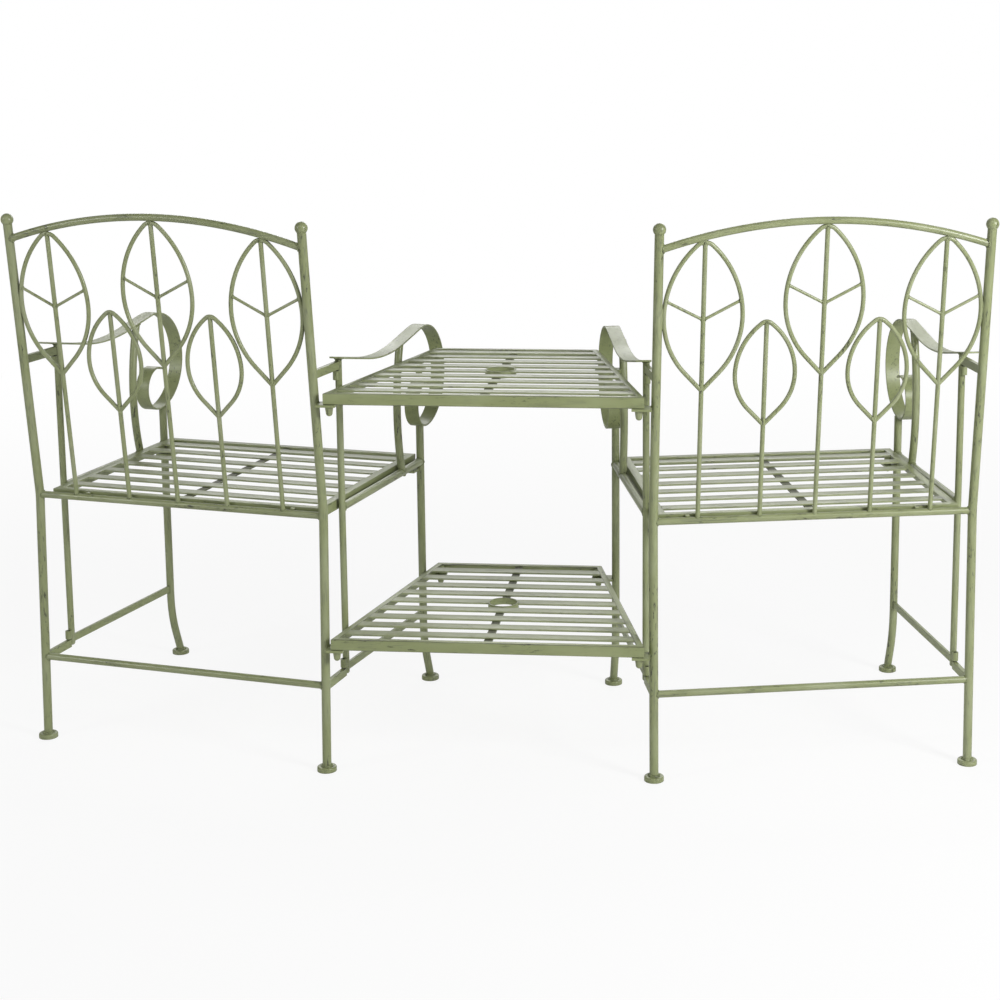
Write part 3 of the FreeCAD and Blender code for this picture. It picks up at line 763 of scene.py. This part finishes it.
for sideName in sides:
    for number, (weldName, sizes) in enumerate(weldPairs.items()):
        edges = []
        for piece, carriers in sizes["pairs"].items():
            skins = [skin for carrier in carriers for skin in solidSkins(sideName + "_" + carrier)]
            edges += seamEdges(sideName + "_" + piece, skins)
        weldRow(sideName + "_" + weldName, edges, sizes, "frame", number + weldSeeds[sideName])
        print(sideName, weldName, len(edges), "seam edges")


# Studio: pale floor, soft light, the photograph's view

white = (1, 1, 1, 1)
floorLook = {
    "halfSize": 30.0, "drop": 0.0004, "colour": (0.86, 0.86, 0.86, 1),
    # how white the camera sees it, by the distance from the middle
    "brightness": {"low": 1.0, "high": 4.0, "start": 0.87, "end": 1.0},
}


def cameraBlend(tree, share, shader, seen, output):
    # the camera sees the second shader, the light on the bench comes from the first
    mixed = addNode(tree, "ShaderNodeMixShader", None, {"Fac": share, 1: shader, 2: seen})
    join(tree, mixed.outputs["Shader"], tree.nodes[output].inputs["Surface"])


def makeFloor():
    reach, drop = floorLook["halfSize"], floorLook["drop"]
    corners = [(-reach, -reach, -drop), (reach, -reach, -drop), (reach, reach, -drop),
               (-reach, reach, -drop)]
    mesh = bpy.data.meshes.new("studioFloor")
    mesh.from_pydata(corners, [], [(0, 1, 2, 3)])
    made, tree = newMaterial("paleFloor")
    tree.nodes.remove(tree.nodes["Principled BSDF"])
    matte = addNode(tree, "ShaderNodeBsdfDiffuse", None, {"Color": floorLook["colour"]})
    glow = addNode(tree, "ShaderNodeEmission", None, {"Color": white, "Strength": 1.0})
    path = addNode(tree, "ShaderNodeLightPath")
    place = addNode(tree, "ShaderNodeTexCoord")
    distance = addNode(tree, "ShaderNodeVectorMath", {"operation": "LENGTH"},
                       {0: place.outputs["Object"]})
    brightness = ramp(tree, distance.outputs["Value"], **floorLook["brightness"])
    share = maths(tree, "MULTIPLY", path.outputs["Is Camera Ray"], brightness)
    cameraBlend(tree, share, matte.outputs["BSDF"], glow.outputs["Emission"], "Material Output")
    item = newObject("studioFloor", mesh, [made])


roomLook = {
    "colour": (1.0, 1.0, 0.99, 1),
    # strength by direction: an even room, and a brighter backdrop beyond the seats
    "strength": {"low": 0.40, "high": 0.88, "start": 0.195, "end": 0.65},
}


def makeWorld():
    world = bpy.data.worlds.new("softRoom")
    bpy.context.scene.world = world
    world.use_nodes = True
    tree = world.node_tree
    light = tree.nodes["Background"]
    light.inputs["Color"].default_value = roomLook["colour"]
    towards = addNode(tree, "ShaderNodeTexCoord")
    parts = addNode(tree, "ShaderNodeSeparateXYZ", None,
                    {"Vector": towards.outputs["Generated"]})
    beyond = maths(tree, "MULTIPLY", parts.outputs["Y"], -1.0)
    join(tree, ramp(tree, beyond, **roomLook["strength"]), light.inputs["Strength"])
    seen = addNode(tree, "ShaderNodeBackground", None, {"Color": white, "Strength": 1.0})
    path = addNode(tree, "ShaderNodeLightPath")
    cameraBlend(tree, path.outputs["Is Camera Ray"], light.outputs["Background"],
                seen.outputs["Background"], "World Output")


lamps = {
    "rightSoftbox": {"place": (-2.4, 1.75, 1.55), "aim": (-0.3, 0.1, 0.45),
                     "width": 0.7, "height": 0.9, "power": 68.0},
    "leftSoftbox": {"place": (2.6, 1.9, 1.55), "aim": (0.3, 0.1, 0.45),
                    "width": 0.7, "height": 0.9, "power": 22.0},
    "overheadStrip": {"place": (-0.4, 2.5, 2.9), "aim": (0.0, 0.1, 0.45),
                      "width": 3.2, "height": 0.3, "power": 18.0},
    "frontFill": {"place": (0.2, -3.2, 2.2), "aim": (0.0, -0.1, 0.45),
                  "width": 3.6, "height": 0.8, "power": 42.0},
}


def makeLamp(name, values):
    data = bpy.data.lights.new(name, "AREA")
    data.shape = "RECTANGLE"
    data.size = values["width"]
    data.size_y = values["height"]
    data.energy = values["power"]
    item = bpy.data.objects.new(name, data)
    item.location = values["place"]
    aim = Vector(values["aim"]) - Vector(values["place"])
    item.rotation_euler = aim.to_track_quat("-Z", "Y").to_euler()
    item.visible_camera = False
    bpy.context.scene.collection.objects.link(item)


view = {
    "place": (-0.4126, 3.2275, 1.2279),
    "down": math.radians(9.65), "turn": math.radians(5.03), "roll": math.radians(-0.25),
    "sensor": 36.0, "lens": 66.97, "shiftX": -0.0787, "shiftY": -0.150,
    "near": 0.05, "far": 200.0,
}


def makeCamera():
    data = bpy.data.cameras.new("photoView")
    data.sensor_width = view["sensor"]
    data.lens = view["lens"]
    data.shift_x = view["shiftX"]
    data.shift_y = view["shiftY"]
    data.clip_start = view["near"]
    data.clip_end = view["far"]
    data.dof.use_dof = False
    item = bpy.data.objects.new("photoView", data)
    item.location = view["place"]
    ahead = Vector((math.sin(view["turn"]) * math.cos(view["down"]),
                    -math.cos(view["turn"]) * math.cos(view["down"]), -math.sin(view["down"])))
    look = ahead.to_track_quat("-Z", "Y").to_matrix()
    roll = Matrix.Rotation(view["roll"], 3, "Z")
    item.rotation_euler = (look @ roll).to_euler()
    bpy.context.scene.collection.objects.link(item)
    bpy.context.scene.camera = item


makeFloor()
makeWorld()
for name, values in lamps.items():
    makeLamp(name, values)
makeCamera()
bpy.context.scene.view_settings.view_transform = "Standard"
print("studio ready")
